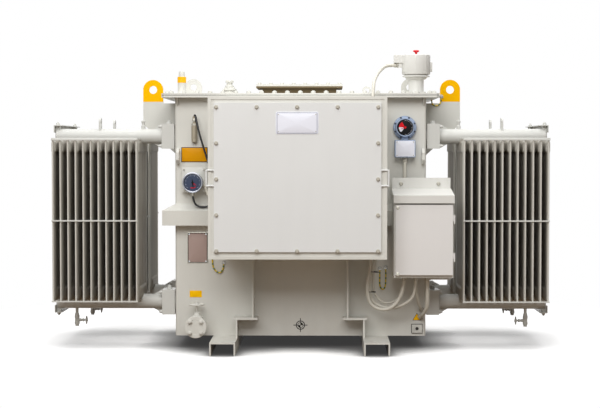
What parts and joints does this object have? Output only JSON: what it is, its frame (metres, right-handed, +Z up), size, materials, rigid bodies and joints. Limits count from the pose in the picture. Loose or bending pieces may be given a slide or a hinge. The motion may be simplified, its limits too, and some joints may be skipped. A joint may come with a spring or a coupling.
{
  "type": "power transformer",
  "caption": "Oil-filled power transformer with bolted cover, front and rear cable boxes, side radiators with valves, control box with hinged door, gauges and base channels.",
  "frame": {"origin": "on the ground under the middle of the tank", "axes": "+X to the right seen from the low-voltage side, +Y towards the rear, +Z up"},
  "size_m": [2.98, 1.8608, 1.796],
  "materials": {
    "grey_paint": "warm light grey paint, satin",
    "pale_paint": "paler warm grey powder coat, satin",
    "gasket_rubber": "black oil-proof gasket",
    "gauge_metal": "cast and turned gauge housing",
    "bare_steel": "bare earthing face",
    "conduit_plastic": "light grey flexible conduit",
    "black_plastic": "black sleeved capillary",
    "earth_cable": "yellow and green earth wire"
  },
  "bodies": {
    "transformer": {"base_channel_left": "grey_paint", "base_channel_right": "grey_paint", "conduits": "conduit_plastic", "control_box_body": "grey_paint", "control_box_frame": "grey_paint", "control_box_hood": "pale_paint", "control_box_rails": "grey_paint", "cover_gasket": "gasket_rubber", "cover_lugs": "grey_paint", "earth_jumpers": "earth_cable", "earth_pad": "bare_steel", "filler_fitting": "grey_paint", "hv_box_cover": "grey_paint", "hv_cable_box": "grey_paint", "inspection_neck": "grey_paint", "inspection_plate": "grey_paint", "jacking_brackets_front": "grey_paint", "jacking_brackets_rear": "grey_paint", "lashing_lugs": "grey_paint", "lifting_lug_left": "grey_paint", "lifting_lug_right": "grey_paint", "lv_box_cover": "grey_paint", "lv_cable_box": "grey_paint", "main_drain_valve": "grey_paint", "oil_filling_pipe": "grey_paint", "oil_level_gauge": "gauge_metal", "radiator_braces_left": "grey_paint", "radiator_braces_right": "grey_paint", "radiator_headers_front_left": "grey_paint", "radiator_headers_front_right": "grey_paint", "radiator_headers_rear_left": "grey_paint", "radiator_headers_rear_right": "grey_paint", "radiator_panels_front_left": "grey_paint", "radiator_panels_front_right": "grey_paint", "radiator_panels_rear_left": "grey_paint", "radiator_panels_rear_right": "grey_paint", "radiator_tie_bars_left": "grey_paint", "radiator_tie_bars_right": "grey_paint", "radiator_valves_left": "grey_paint", "radiator_valves_right": "grey_paint", "relief_valve": "pale_paint", "stiffener_belt_left": "grey_paint", "stiffener_belt_right": "grey_paint", "tank_body": "grey_paint", "tank_cover": "grey_paint", "tank_flange": "grey_paint", "temperature_gauge": "gauge_metal", "thermometer_capillary": "black_plastic", "thermometer_pocket": "grey_paint"},
    "control_door": {"control_box_door": "pale_paint"},
    "main_drain_wheel_body": {"main_drain_wheel": "grey_paint"},
    "drain_wheel_front_left": {"radiator_drain_wheel_front_left": "grey_paint"},
    "drain_wheel_front_right": {"radiator_drain_wheel_front_right": "grey_paint"},
    "drain_wheel_rear_left": {"radiator_drain_wheel_rear_left": "grey_paint"},
    "drain_wheel_rear_right": {"radiator_drain_wheel_rear_right": "grey_paint"}
  },
  "joints": [
    {"name": "control_door_hinge", "type": "hinge", "parent": "transformer", "child": "control_door", "pos_m": [0.894, -0.744, 0.667], "axis": [0, 0, 1], "range_deg": [0, 120]},
    {"name": "main_drain_spindle", "type": "hinge", "parent": "transformer", "child": "main_drain_wheel_body", "pos_m": [-0.616, -0.508, 0.268], "axis": [0, 0, 1], "continuous": true},
    {"name": "drain_spindle_front_left", "type": "hinge", "parent": "transformer", "child": "drain_wheel_front_left", "pos_m": [-1.303, -0.3175, 0.155], "axis": [1, 0, 0], "continuous": true},
    {"name": "drain_spindle_front_right", "type": "hinge", "parent": "transformer", "child": "drain_wheel_front_right", "pos_m": [1.303, -0.3175, 0.155], "axis": [1, 0, 0], "continuous": true},
    {"name": "drain_spindle_rear_left", "type": "hinge", "parent": "transformer", "child": "drain_wheel_rear_left", "pos_m": [-1.303, 0.3175, 0.155], "axis": [1, 0, 0], "continuous": true},
    {"name": "drain_spindle_rear_right", "type": "hinge", "parent": "transformer", "child": "drain_wheel_rear_right", "pos_m": [1.303, 0.3175, 0.155], "axis": [1, 0, 0], "continuous": true}
  ]
}
